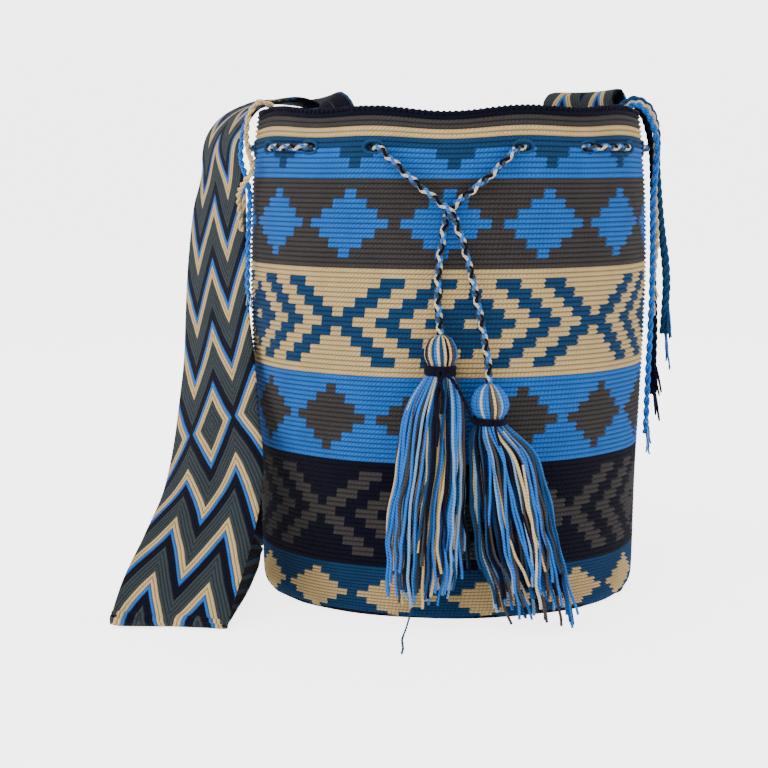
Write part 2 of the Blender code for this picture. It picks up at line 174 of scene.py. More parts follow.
# Lines with a thickness and a colour at each point become yarns with round ends
def makeSweepTree():
    tree = bpy.data.node_groups.new("sweptYarn", "GeometryNodeTree")
    given, made = groupSockets(
        tree,
        [("Geometry", "Geometry"), ("Sides", "Int"), ("Wobble", "Float"),
         ("Wobble scale", "Float"), ("Seed", "Float"), ("Material", "Material")],
        [("Geometry", "Geometry")],
    )
    curve = wire(tree, "GeometryNodeMeshToCurve", {"Mesh": given["Geometry"]})
    noise = wire(tree, "ShaderNodeTexNoise",
                 {"Scale": given["Wobble scale"], "W": given["Seed"], "Detail": 1.0},
                 noise_dimensions="4D")
    centred = wire(tree, "ShaderNodeVectorMath", {0: noise.outputs["Color"], 1: (0.5, 0.5, 0.5)},
                   operation="SUBTRACT")
    loose = wire(tree, "GeometryNodeInputNamedAttribute", {"Name": "loose"}, data_type="FLOAT")
    amount = wire(tree, "ShaderNodeMath", {0: given["Wobble"], 1: loose.outputs["Attribute"]},
                  operation="MULTIPLY")
    shift = wire(tree, "ShaderNodeVectorMath", operation="SCALE")
    tree.links.new(centred.outputs["Vector"], shift.inputs[0])
    tree.links.new(amount.outputs[0], shift.inputs["Scale"])
    moved = wire(tree, "GeometryNodeSetPosition",
                 {"Geometry": curve.outputs["Curve"], "Offset": shift.outputs["Vector"]})
    thick = wire(tree, "GeometryNodeInputNamedAttribute", {"Name": "thick"}, data_type="FLOAT")
    sized = wire(tree, "GeometryNodeSetCurveRadius",
                 {"Curve": moved.outputs["Geometry"], "Radius": thick.outputs["Attribute"]})
    place = wire(tree, "GeometryNodeSplineParameter")
    measured = wire(tree, "GeometryNodeStoreNamedAttribute",
                    {"Geometry": sized.outputs["Curve"], "Name": "along",
                     "Value": place.outputs["Length"]}, data_type="FLOAT", domain="POINT")
    circle = wire(tree, "GeometryNodeCurvePrimitiveCircle",
                  {"Resolution": given["Sides"], "Radius": 1.0})
    spot = wire(tree, "GeometryNodeInputPosition")
    section = wire(tree, "GeometryNodeStoreNamedAttribute",
                   {"Geometry": circle.outputs["Curve"], "Name": "section",
                    "Value": spot.outputs["Position"]}, data_type="FLOAT_VECTOR", domain="POINT")
    swept = wire(tree, "GeometryNodeCurveToMesh",
                 {"Curve": measured.outputs["Geometry"],
                  "Profile Curve": section.outputs["Geometry"], "Fill Caps": True})
    if "Scale" in swept.inputs:
        tree.links.new(thick.outputs["Attribute"], swept.inputs["Scale"])
    smooth = wire(tree, "GeometryNodeSetShadeSmooth", {"Geometry": swept.outputs["Mesh"]})
    real = wire(tree, "GeometryNodeRealizeInstances", {"Geometry": smooth.outputs["Geometry"]})
    coloured = wire(tree, "GeometryNodeSetMaterial",
                    {"Geometry": real.outputs["Geometry"], "Material": given["Material"]})
    tree.links.new(coloured.outputs["Geometry"], made["Geometry"])
    return tree


sweepTree = makeSweepTree()


def link(name, mesh):
    obj = bpy.data.objects.new(name, mesh)
    bpy.context.scene.collection.objects.link(obj)
    return obj


# One yarn: its line, radius, colour name and how freely it may wobble, all along or point by
# point
def strand(line, thick, colour, loose=0.0, closed=False):
    count = len(line)
    return {"line": line, "thick": np.full(count, 1.0) * thick, "colour": linear(colour),
            "loose": np.full(count, 1.0) * loose, "closed": closed}


# One plain mesh of all these yarns
def sweep(name, strands, finish, sides=6, wobble=0.0, scale=60.0, seed=1.0):
    points = np.vstack([s["line"] for s in strands])
    edges, first = [], 0
    for s in strands:
        count = len(s["line"])
        edges += [(first + k, first + k + 1) for k in range(count - 1)]
        if s["closed"]:
            edges.append((first + count - 1, first))
        first += count
    mesh = bpy.data.meshes.new(name)
    mesh.from_pydata(points.tolist(), edges, [])
    for key in ("thick", "loose"):
        values = np.concatenate([s[key] for s in strands])
        mesh.attributes.new(key, "FLOAT", "POINT").data.foreach_set("value", values)
    tints = np.vstack([np.tile((*s["colour"], 1.0), (len(s["line"]), 1)) for s in strands])
    mesh.attributes.new("yarn", "FLOAT_COLOR", "POINT").data.foreach_set("color", tints.ravel())
    obj = link(name, mesh)
    modifier = obj.modifiers.new("sweep", "NODES")
    modifier.node_group = sweepTree
    values = {"Sides": sides, "Wobble": wobble, "Wobble scale": scale, "Seed": seed,
              "Material": finish}
    for item in sweepTree.interface.items_tree:
        if item.in_out == "INPUT" and item.name in values:
            modifier[item.identifier] = values[item.name]
    graph = bpy.context.evaluated_depsgraph_get()
    swept = bpy.data.meshes.new_from_object(obj.evaluated_get(graph))
    obj.modifiers.clear()
    obj.data = swept
    swept.name = name
    print(name, len(swept.polygons), "faces")
    return obj


# Plies that run round the line as a rope's do
def twisted(line, plies, reach, pitch, thick, names, turn=1, start=0.0):
    side, up = lineFrames(line)
    along = lengths(line)
    made = []
    for k in range(plies):
        angle = (turn * tau * (along / pitch) + tau * k / plies + start)[:, None]
        ply = line + reach * (np.cos(angle) * side + np.sin(angle) * up)
        made.append(strand(ply, thick, names[k % len(names)]))
    return made


def maths(tree, operation, a, b=None, c=None):
    values = {k: v for k, v in enumerate((a, b, c)) if v is not None}
    return wire(tree, "ShaderNodeMath", values, operation=operation).outputs[0]


def blend(tree, factor, a, b, kind="MIX"):
    return wire(tree, "ShaderNodeMix", {0: factor, 6: a, 7: b}, data_type="RGBA",
                blend_type=kind).outputs[2]


# The colour times a grey amount
def shade(tree, colour, amount):
    grey = wire(tree, "ShaderNodeCombineColor",
                {"Red": amount, "Green": amount, "Blue": amount}).outputs[0]
    return blend(tree, 1.0, colour, grey, "MULTIPLY")


# Fibre noise over the object's own coordinates
def fuzz(tree, scale, detail=2.0):
    place = wire(tree, "ShaderNodeTexCoord").outputs["Object"]
    return wire(tree, "ShaderNodeTexNoise", {"Vector": place, "Scale": scale, "Detail": detail}
                ).outputs[0]


# Plies that wind round a yarn, from its length and its section, with painted shade between plies
def makeTwistGroup():
    tree = bpy.data.node_groups.new("yarnTwist", "ShaderNodeTree")
    given, made = groupSockets(tree, [("Plies", "Float"), ("Pitch", "Float"), ("PaintedGrooveShade", "Float")],
                               [("Colour", "Color"), ("Height", "Float")])
    along = wire(tree, "ShaderNodeAttribute", attribute_name="along").outputs["Fac"]
    section = wire(tree, "ShaderNodeAttribute", attribute_name="section").outputs["Vector"]
    yarn = wire(tree, "ShaderNodeAttribute", attribute_name="yarn").outputs["Color"]
    parts = wire(tree, "ShaderNodeSeparateXYZ", {0: section}).outputs
    angle = maths(tree, "DIVIDE", maths(tree, "ARCTAN2", parts[1], parts[0]), tau)
    turns = maths(tree, "ADD", maths(tree, "MULTIPLY", angle, given["Plies"]),
                  maths(tree, "DIVIDE", along, given["Pitch"]))
    crest = maths(tree, "ABSOLUTE", maths(tree, "SINE", maths(tree, "MULTIPLY", turns, math.pi)))
    crest = maths(tree, "POWER", crest, 0.6)
    fine = fuzz(tree, 2600.0)
    # painted shade: the yarn's colour is darkened in the grooves between the plies
    tone = maths(tree, "ADD", maths(tree, "MULTIPLY", crest, given["PaintedGrooveShade"]),
                 maths(tree, "SUBTRACT", 0.82, given["PaintedGrooveShade"]))
    tone = maths(tree, "MULTIPLY", tone, maths(tree, "MULTIPLY_ADD", fuzz(tree, 90.0), 0.5, 0.78))
    tree.links.new(shade(tree, yarn, tone), made["Colour"])
    tree.links.new(maths(tree, "MULTIPLY_ADD", fine, 0.5, crest), made["Height"])
    return tree


# Rows of leaning stitches with painted shade in the grooves; the map's U counts stitches, V rows
def makeCrochetGroup():
    tree = bpy.data.node_groups.new("crochetRows", "ShaderNodeTree")
    given, made = groupSockets(tree, [("Lean", "Float"), ("PaintedGrooveShade", "Float")],
                               [("Colour", "Color"), ("Height", "Float")])
    place = wire(tree, "ShaderNodeUVMap", uv_map="stitches").outputs[0]
    yarn = wire(tree, "ShaderNodeAttribute", attribute_name="yarn").outputs["Color"]
    parts = wire(tree, "ShaderNodeSeparateXYZ", {0: place}).outputs
    across = maths(tree, "SUBTRACT", maths(tree, "FRACT", parts[1]), 0.5)
    uneven = maths(tree, "MULTIPLY_ADD", fuzz(tree, 130.0), 1.1, -0.55)
    slanted = maths(tree, "ADD", maths(tree, "MULTIPLY_ADD", across, given["Lean"], parts[0]),
                    uneven)
    lobe = maths(tree, "ABSOLUTE", maths(tree, "SINE", maths(tree, "MULTIPLY", slanted, math.pi)))
    lobe = maths(tree, "POWER", lobe, 0.55)
    row = maths(tree, "ABSOLUTE", maths(tree, "COSINE", maths(tree, "MULTIPLY", across, math.pi)))
    row = maths(tree, "POWER", row, 0.5)
    plies = maths(tree, "MULTIPLY_ADD", across, 2.2, maths(tree, "MULTIPLY", slanted, 3.0))
    ply = maths(tree, "SINE", maths(tree, "MULTIPLY", plies, tau))
    both = maths(tree, "MULTIPLY", maths(tree, "MULTIPLY_ADD", lobe, 0.6, 0.4), row)
    fine = maths(tree, "ADD", maths(tree, "MULTIPLY", ply, 0.06),
                 maths(tree, "MULTIPLY", fuzz(tree, 2200.0), 0.22))
    height = maths(tree, "ADD", both, fine)
    # painted shade: the colour is darkened in the grooves between stitches and between rows
    grooveShadeLevel = maths(tree, "SUBTRACT", 0.8, given["PaintedGrooveShade"])
    tone = maths(tree, "MULTIPLY_ADD", both, given["PaintedGrooveShade"], grooveShadeLevel)
    patchy = maths(tree, "MULTIPLY_ADD", fuzz(tree, 55.0, 3.0), 0.36, 0.82)
    tone = maths(tree, "MULTIPLY", tone, patchy)
    tree.links.new(shade(tree, yarn, tone), made["Colour"])
    tree.links.new(height, made["Height"])
    return tree


# A fabric material whose colour and height come from the group
def makeMaterial(name, group, values, bump, roughness=0.88):
    made = bpy.data.materials.new(name)
    made.use_nodes = True
    tree = made.node_tree
    surface = tree.nodes["Principled BSDF"]
    surface.inputs["Roughness"].default_value = roughness
    surface.inputs["Specular IOR Level"].default_value = 0.1
    surface.inputs["Sheen Weight"].default_value = 0.03
    surface.inputs["Sheen Roughness"].default_value = 0.45
    effect = wire(tree, "ShaderNodeGroup", node_tree=group)
    for key, value in values.items():
        effect.inputs[key].default_value = value
    tree.links.new(effect.outputs["Colour"], surface.inputs["Base Color"])
    relief = wire(tree, "ShaderNodeBump",
                  {"Height": effect.outputs["Height"], "Distance": bump, "Strength": 0.8})
    tree.links.new(relief.outputs["Normal"], surface.inputs["Normal"])
    return made


twistGroup = makeTwistGroup()
crochetGroup = makeCrochetGroup()
thinYarn = makeMaterial("twistedYarn", twistGroup, {"Plies": 2.0, "Pitch": 0.0021, "PaintedGrooveShade": 0.55},
                        0.0003)
thickYarn = makeMaterial("thickTwistedYarn", twistGroup,
                         {"Plies": 3.0, "Pitch": 0.0021, "PaintedGrooveShade": 0.5}, 0.0004)
crochet = makeMaterial("crochetedCotton", crochetGroup, {"Lean": 0.9, "PaintedGrooveShade": 0.66}, 0.0012)
print("camera, light and materials are ready")


bag = {
    # outer profile of the wall, (radius, height) in centimetres, from the rim down and under
    "profile": [(12.93, 33.0), (13.08, 32.93), (13.3, 31.6), (13.45, 30.0), (13.65, 27.0),
                (13.7, 22.5), (13.55, 17.0), (13.35, 12.0), (13.15, 8.0), (13.0, 4.0),
                (12.92, 2.0), (12.87, 1.1), (12.72, 0.5), (12.4, 0.14), (11.9, 0.05),
                (6.0, 0.03), (0.0, 0.03)],
    "inside": [(12.93, 33.0), (12.76, 32.9), (12.95, 31.6), (13.1, 30.0), (13.3, 27.0),
               (13.35, 22.5), (13.2, 17.0), (13.0, 12.0), (12.8, 8.0), (12.65, 4.0),
               (12.5, 1.1), (12.2, 0.5), (11.6, 0.36), (6.0, 0.36), (0.0, 0.36)],
    # how far down the wall each colour step starts, in centimetres; a step is two rows
    "steps": [(0, 0.0), (4, 2.7), (7, 4.75), (16, 10.45), (27, 17.4), (36, 23.0), (47, 29.9),
              (55, 33.3)],
    "units": 104,                 # pattern units round the bag, each three stitches wide
    "lean": 0.0525,               # units that the columns lean back by with each row
    "upright": 22,                # the row at which the columns stand where they are counted
    "slant": 0.1,                 # units that each row's crest stands off its grooves
    "relief": 0.0008,             # half the height of a row's ridge, in metres
}

# first step, ground, figure, kind of figure, and the step at the figure's middle
bands = [
    (0, "navy", "navy", None, 0),
    (1, "grey", "grey", None, 0),
    (2, "beige", "beige", None, 0),
    (3, "teal", "teal", None, 0),
    (4, "blue", "teal", "diamond", 3),
    (7, "grey", "blue", "diamond", 11),
    (16, "beige", "teal", "chevron", 21),
    (27, "blue", "grey", "diamond", 31),
    (36, "navy", "grey", "chevron", 41),
    (47, "teal", "beige", "diamond", 51),
    (55, "blue", "blue", None, 0),
]
diamond = {"period": 8, "reach": {3: 2, 11: 3, 31: 3, 51: 3}}
chevron = {"centres": [-30, -8, 14, 36, 58], "reach": 4, "stripe": 4, "solid": 8}


# Whether the unit u, on the k-th step from the figure's middle, has the figure's colour
def figureAt(kind, u, k, middle):
    if kind == "diamond":
        period = diamond["period"]
        off = abs((u + period // 2) % period - period // 2)
        return off + abs(k) <= diamond["reach"][middle]
    around = bag["units"]
    off = min(abs((u - c + around // 2) % around - around // 2) for c in chevron["centres"])
    d = off - abs(k)
    if abs(k) > chevron["reach"] or d < 0 or (off >= 11 and k == 0):
        return False
    return d % chevron["stripe"] < 2 or d >= chevron["solid"]


def colourAt(step, u):
    ground, figure, kind, middle = [b[1:] for b in bands if b[0] <= step][-1]
    if kind and figureAt(kind, u, step - middle, middle):
        return linear(figure)
    if step > 56 and (step // 3) % 3 == 0:      # rings under the base
        return linear("navy")
    return linear(ground)


rim = {
    "wave": 0.0013, "waves": 9,           # small waves, in metres, and how many go round
    "tilt": 0.0006,
    "frontDip": 0.0032, "frontReach": 0.45,       # where the cord draws the front down
}


# How far the rim's rows are drawn up or down round the mouth, most at the front eyelets
def rimWave(angle):
    front = (angle + math.pi) % tau - math.pi
    waves = rim["wave"] * np.cos(rim["waves"] * (angle - math.radians(20)))
    return (waves + rim["tilt"] * np.sin(2 * angle + 0.6)
            - rim["frontDip"] * np.exp(-(front / rim["frontReach"]) ** 2))


# Turns a profile into rows of stitches: two rings a row, with the colours on its faces
def crochetShell(profile, columns, longest, lean, quiet=0.0):
    path = spaced(catmull(np.array(profile) * cm, 10), 0.0005)
    along = lengths(path)
    stepAt = np.array(bag["steps"], float)
    rows = np.arange(0, 400)
    depth = np.interp(rows / 2, stepAt[:, 0], stepAt[:, 1] * cm)
    beyond = rows > 2 * stepAt[-1, 0]
    depth[beyond] += (rows[beyond] - 2 * stepAt[-1, 0]) * 0.0031
    depth = depth[depth < min(longest, along[-1] - 0.004)]
    halves = np.empty(2 * len(depth) - 1)
    halves[::2], halves[1::2] = depth, (depth[1:] + depth[:-1]) / 2
    radius = np.interp(halves, along, path[:, 0])
    height = np.interp(halves, along, path[:, 1])
    slope = unit(np.stack([np.gradient(radius), np.gradient(height)], axis=1))
    outward = np.stack([-slope[:, 1], slope[:, 0]], axis=1)
    outward *= np.sign(outward[len(outward) // 3, 0])
    if profile is bag["inside"]:
        outward = -outward
    index = np.arange(len(halves))
    relief = np.where(index % 2 == 1, 1.0, -1.0) * bag["relief"]
    turns = tau * np.arange(columns) / columns
    points = []
    for k in index:
        back = lean * (k / 2 - bag["upright"]) - bag["slant"] * (k % 2)
        angle = turns - tau / bag["units"] * back
        lift = rimWave(angle) * np.clip(1 - halves[k] / 0.055, 0, 1) ** 1.3
        bulge = (0.0007 * np.sin(3 * angle + 1) * np.sin(9 * halves[k])
                 + 0.0004 * np.sin(11 * angle + 31 * halves[k]))
        r = radius[k] + outward[k, 0] * relief[k] + bulge * min(1, radius[k] / 0.1)
        z = np.maximum(height[k] + outward[k, 1] * relief[k] + lift, 0.0002)
        points.append(roundBag(angle, r, z))
    maker = bmesh.new()
    mapLayer = maker.loops.layers.uv.new("stitches")
    yarnLayer = maker.loops.layers.float_color.new("yarn")
    rings = [[maker.verts.new(p) for p in ring] for ring in points]
    perUnit = columns / bag["units"]
    stitches = 3 / perUnit
    for k, (upper, lower) in enumerate(zip(rings, rings[1:])):
        for c in range(columns):
            d = (c + 1) % columns
            u = math.floor((c + 0.5) / perUnit + 0.5)
            tint = colourAt(k // 4, u % bag["units"])
            if quiet:
                tint = [v * (1 - quiet) + 0.12 * quiet for v in tint]
            face = maker.faces.new((upper[c], lower[c], lower[d], upper[d]))
            face.smooth = True
            for loop, (a, b) in zip(face.loops, ((c, k), (c, k + 1), (c + 1, k + 1), (c + 1, k))):
                loop[mapLayer].uv = (a * stitches, b / 2)
                loop[yarnLayer] = (*tint, 1)
    if longest > along[-1]:
        last = rings[-1]
        middle = maker.verts.new((0, 0, points[-1][0][2]))
        for c in range(columns):
            face = maker.faces.new((last[c], middle, last[(c + 1) % columns]))
            for loop in face.loops:
                loop[yarnLayer] = (*colourAt(57, 0), 1)
    if profile is bag["inside"]:
        bmesh.ops.reverse_faces(maker, faces=maker.faces)
    return maker


eyelets = {"count": 16, "first": 20.8, "height": 0.3045, "radius": 0.1325,
           "wide": 0.0136, "tall": 0.0085, "yarn": 0.0012}


def eyeletAngles():
    first, count = math.radians(eyelets["first"]), eyelets["count"]
    return [-first - (tau - 2 * first) / (count - 1) * k for k in range(count)]


# Takes out the faces inside each eyelet, so the drawstring passes through real holes
def openEyelets(maker):
    gone = []
    for face in maker.faces:
        middle = face.calc_center_median()
        if abs(middle.z - eyelets["height"]) > eyelets["tall"]:
            continue
        angle = math.atan2(middle.x, -middle.y)
        for at in eyeletAngles():
            off = (angle - at + math.pi) % tau - math.pi
            wide = off * eyelets["radius"] / (eyelets["wide"] / 2)
            tall = (middle.z - eyelets["height"]) / (eyelets["tall"] / 2)
            if wide * wide + tall * tall < 1:
                gone.append(face)
    bmesh.ops.delete(maker, geom=gone, context="FACES")


def finishMesh(name, maker, material):
    mesh = bpy.data.meshes.new(name)
    maker.normal_update()
    maker.to_mesh(mesh)
    maker.free()
    mesh.materials.append(material)
    print(name, len(mesh.polygons), "faces")
    return link(name, mesh)


maker = crochetShell(bag["profile"], 312, 0.339, bag["lean"])
openEyelets(maker)
bagWall = finishMesh("bagWall", maker, crochet)
maker = crochetShell(bag["inside"], 156, 1.0, bag["lean"], quiet=0.25)
openEyelets(maker)
bagLining = finishMesh("bagLining", maker, crochet)


# The underside of the base, from just inside the wall's last row to the middle
def discProfile():
    return [(12.6, 0.3), (12.3, 0.13), (11.9, 0.06), (6.0, 0.03), (0.0, 0.03)]


maker = crochetShell(discProfile(), 104, 1.0, 0.0)
bagBase = finishMesh("bagBase", maker, crochet)


# The overcast yarn along the rim, and the yarn round each eyelet
def makeRimEdge():
    turns, per = 208, 8
    angle = np.linspace(0, tau, turns * per, endpoint=False)
    wind = np.linspace(0, tau * turns, turns * per, endpoint=False)
    line = roundBag(angle, 0.1293 + 0.0011 * np.cos(wind), 0.3292 + 0.0008 * np.sin(wind))
    line[:, 2] += rimWave(angle)
    strands = [strand(line, 0.0014, "navy", closed=True)]
    around = tau * np.arange(18) / 18
    for at in eyeletAngles():
        for radius in (eyelets["radius"] - 0.0016, eyelets["radius"] + 0.0013):
            half = eyelets["wide"] / 2 / eyelets["radius"]
            ring = roundBag(at + half * np.cos(around), radius,
                            eyelets["height"] + eyelets["tall"] / 2 * np.sin(around))
            strands.append(strand(ring, eyelets["yarn"], "teal", closed=True))
    return sweep("rimAndEyelets", strands, thinYarn, sides=6)


rimEdge = makeRimEdge()

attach(bagWall, "bag")
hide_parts("bag_body")
for piece in (bagWall, bagLining, bagBase, rimEdge):
    if piece is not bagWall:
        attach(piece, "bag")


strap = {
    "width": 0.075, "thick": 0.0038,
    "steps": 14,                  # rings between two stations
    "across": 30,                 # faces across
    "plain": 0.075,               # metres at the sewn-in end that take the darker back colours, as painted shade
    "middle": 11,                 # the station where the zigzags turn round into diamonds
    # centre, direction across and curl, station by station, as the CAD strap has them
    "stations": [
        (-9.78, 7.64, 31.1, -0.616, -0.788, 0.0, -0.078),
        (-9.78, 7.64, 32.2, -0.616, -0.788, 0.0, -0.078),
        (-9.85, 7.68, 33.2, -0.61, -0.79, 0.0, -0.07), (-11.0, 7.55, 33.75, 0.1, -0.98, 0.0, 0.0),
        (-12.9, 6.1, 33.8, 0.35, -0.93, 0.0, 0.0), (-15.1, 4.35, 32.8, 0.38, -0.92, 0.03, 0.0),
        (-16.3, 3.0, 30.7, 0.36, -0.93, -0.1, 0.03), (-16.35, 2.0, 27.5, 0.54, -0.84, 0.0, 0.025),
        (-16.45, 1.0, 23.5, 0.61, -0.79, 0.03, 0.025),
        (-16.35, -0.6, 19.5, 0.64, -0.77, 0.03, 0.025),
        (-16.1, -2.6, 15.5, 0.68, -0.73, 0.02, 0.025), (-15.9, -5.6, 11.6, 0.74, -0.67, 0.0, 0.03),
        (-15.7, -9.0, 8.0, 0.88, -0.47, 0.0, 0.02), (-16.3, -12.0, 5.0, 0.97, -0.25, 0.0, 0.01),
        (-17.1, -14.3, 2.5, 0.995, -0.08, 0.0, 0.0), (-17.5, -15.5, 1.1, 1.0, -0.05, 0.0, 0.0),
        (-17.6, -15.95, 0.7, 1.0, -0.04, 0.0, 0.0), (-17.62, -16.0, 0.5, 1.0, -0.03, 0.0, 0.0),
        (-17.64, -15.8, 0.34, 1.0, -0.02, 0.0, 0.0), (-17.65, -15.2, 0.26, 1.0, 0.0, 0.0, 0.0),
        (-17.6, -12.0, 0.2, 1.0, 0.0, 0.0, 0.0), (-17.4, -5.0, 0.22, 1.0, 0.0, 0.0, 0.0),
        (-17.4, 2.0, 0.4, 1.0, 0.0, -0.02, 0.0), (-17.3, 6.8, 1.95, 0.92, 0.0, -0.38, 0.0),
        (-16.0, 10.6, 3.5, 0.6, 0.25, -0.76, 0.0), (-12.6, 13.6, 4.2, 0.2, 0.2, -0.96, 0.0),
        (-8.0, 15.0, 4.8, 0.1, 0.05, -0.99, 0.0), (-2.56, 15.37, 6.6, 0.32, 0.0, -0.95, 0.0),
        (2.17, 14.97, 9.8, 0.58, -0.1, -0.8, 0.01), (5.52, 13.79, 14.0, 0.7, -0.36, -0.62, 0.025),
        (7.79, 12.37, 18.6, 0.72, -0.53, -0.45, 0.04), (9.55, 11.2, 23.2, 0.69, -0.65, -0.3, 0.05),
        (10.67, 9.93, 27.4, 0.66, -0.74, -0.15, 0.06),
        (11.38, 8.98, 30.6, 0.62, -0.785, 0.0, 0.06), (11.1, 8.7, 32.6, 0.616, -0.788, 0.0, 0.045),
        (10.54, 8.28, 34.0, 0.616, -0.788, 0.0, 0.02),
        (10.04, 7.89, 34.4, 0.616, -0.788, 0.0, -0.02),
        (9.75, 7.62, 33.9, 0.616, -0.788, 0.0, -0.06),
        (9.76, 7.62, 33.0, 0.616, -0.788, 0.0, -0.078),
        (9.76, 7.62, 31.1, 0.616, -0.788, 0.0, -0.078),
    ],
}


# Zigzag rows of twisted cords: the map's U is metres across the strap and V along it
def makeWeaveGroup():
    tree = bpy.data.node_groups.new("zigzagCords", "ShaderNodeTree")
    given, made = groupSockets(
        tree, [("Middle", "Float"), ("Rise", "Float"), ("Period", "Float"), ("Chain", "Float")],
        [("Colour", "Color"), ("Height", "Float")])
    place = wire(tree, "ShaderNodeUVMap", uv_map="weave").outputs[0]
    under = wire(tree, "ShaderNodeAttribute", attribute_name="under").outputs["Fac"]
    parts = wire(tree, "ShaderNodeSeparateXYZ", {0: place}).outputs
    uneven = maths(tree, "MULTIPLY_ADD", fuzz(tree, 45.0), 0.004, -0.002)
    across = maths(tree, "DIVIDE", parts[0], strap["width"] / 2)
    zigzag = maths(tree, "ABSOLUTE", maths(tree, "SUBTRACT", across, maths(tree, "ROUND", across)))
    rise = maths(tree, "MULTIPLY", maths(tree, "MULTIPLY", zigzag, 2.0), given["Rise"])
    far = maths(tree, "ABSOLUTE", maths(tree, "SUBTRACT", parts[1], given["Middle"]))
    turn = maths(tree, "DIVIDE", maths(tree, "ADD", maths(tree, "ADD", far, rise), uneven),
                 given["Period"])
    cord = maths(tree, "MULTIPLY", turn, float(len(weaveColours)))
    middle = maths(tree, "SUBTRACT", maths(tree, "FRACT", cord), 0.5)
    crest = maths(tree, "COSINE", maths(tree, "MULTIPLY", middle, math.pi))
    crest = maths(tree, "POWER", crest, 0.5)
    chain = maths(tree, "ADD", maths(tree, "DIVIDE", parts[0], given["Chain"]),
                  maths(tree, "MULTIPLY", maths(tree, "ABSOLUTE", middle), 1.2))
    chain = maths(tree, "ABSOLUTE", maths(tree, "SINE", maths(tree, "MULTIPLY", chain, math.pi)))
    chain = maths(tree, "POWER", chain, 0.6)
    both = maths(tree, "MULTIPLY", crest, maths(tree, "MULTIPLY_ADD", chain, 0.5, 0.5))
    tops = []
    for names in (weaveColours, shadedBackColours):
        ramp = wire(tree, "ShaderNodeValToRGB", {"Fac": maths(tree, "FRACT", turn)})
        ramp.color_ramp.interpolation = "CONSTANT"
        spots = ramp.color_ramp.elements
        while len(spots) < len(names):
            spots.new(0.5)
        for k, name in enumerate(names):
            spots[k].position = k / len(names)
        for k, name in enumerate(names):
            spots[k].color = (*linear(name), 1)
        tops.append(ramp.outputs["Color"])
    # painted shade: the cords' colour is darkened between the cords and between the chain links
    tone = maths(tree, "MULTIPLY_ADD", both, 0.72, 0.1)
    tone = maths(tree, "MULTIPLY", tone, maths(tree, "MULTIPLY_ADD", fuzz(tree, 60.0), 0.4, 0.8))
    tree.links.new(shade(tree, blend(tree, under, *tops), tone), made["Colour"])
    tree.links.new(maths(tree, "MULTIPLY_ADD", fuzz(tree, 2200.0), 0.2, both), made["Height"])
    return tree


weaveColours = ["strapGrey"] * 4 + ["beige"] * 2 + ["blue"] + ["navy"] * 2
# painted shade: darker copies of the front colours, for the back face and the sewn-in end
shadedBackColours = ["navy"] * 4 + ["strapGrey"] * 2 + ["teal"] + ["navy"] * 2


def makeStrap():
    stations = catmull(strap["stations"], strap["steps"])
    centres, sides, curls = stations[:, :3] * cm, stations[:, 3:6], stations[:, 6] / cm
    tangent = unit(np.gradient(centres, axis=0))
    sides = unit(sides - (sides * tangent).sum(1)[:, None] * tangent)
    outs = np.cross(tangent, sides)
    along = lengths(centres)
    places = np.linspace(-0.5, 0.5, strap["across"] + 1)
    maker = bmesh.new()
    mapLayer = maker.loops.layers.uv.new("weave")
    underLayer = maker.loops.layers.float.new("under")
    rings = []
    for k, (centre, side, out, curl) in enumerate(zip(centres, sides, outs, curls)):
        ring = []
        for sign in (1, -1):
            for p in places * sign:
                w = p * strap["width"]
                half = strap["thick"] / 2 * math.sqrt(max(0.15, 1 - abs(2 * p) ** 10))
                ring.append(maker.verts.new(
                    centre + side * w + out * (sign * half - curl * w * w / 2)))
        rings.append(ring)
    count = 2 * len(places)
    us = np.concatenate([places, -places]) * strap["width"]
    for k, (first, second) in enumerate(zip(rings, rings[1:])):
        for c in range(count):
            d = (c + 1) % count
            face = maker.faces.new((first[c], first[d], second[d], second[c]))
            face.smooth = True
            edge = c in (count // 2 - 1, count - 1)
            for loop, (a, b) in zip(face.loops, ((c, k), (d, k), (d, k + 1), (c, k + 1))):
                loop[mapLayer].uv = (us[a], along[b])
                # under marks the faces painted in the darker back colours: the back face and the
                # sewn-in end
                loop[underLayer] = float(
                    along[b] < strap["plain"] or (c >= count // 2 and not edge))
    for ring in (rings[0], rings[-1][::-1]):
        for c in range(strap["across"]):
            maker.faces.new((ring[c], ring[count - 1 - c], ring[count - 2 - c], ring[c + 1]))
    bmesh.ops.recalc_face_normals(maker, faces=maker.faces)
    weave = makeMaterial("zigzagWeave", makeWeaveGroup(),
                         {"Middle": along[strap["middle"] * strap["steps"]], "Rise": 0.039,
                          "Period": 0.0465, "Chain": 0.001}, 0.0014)
    return finishMesh("strapBand", maker, weave), along[-1]


strapBand, strapLength = makeStrap()
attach(strapBand, "bag")
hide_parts("strap")


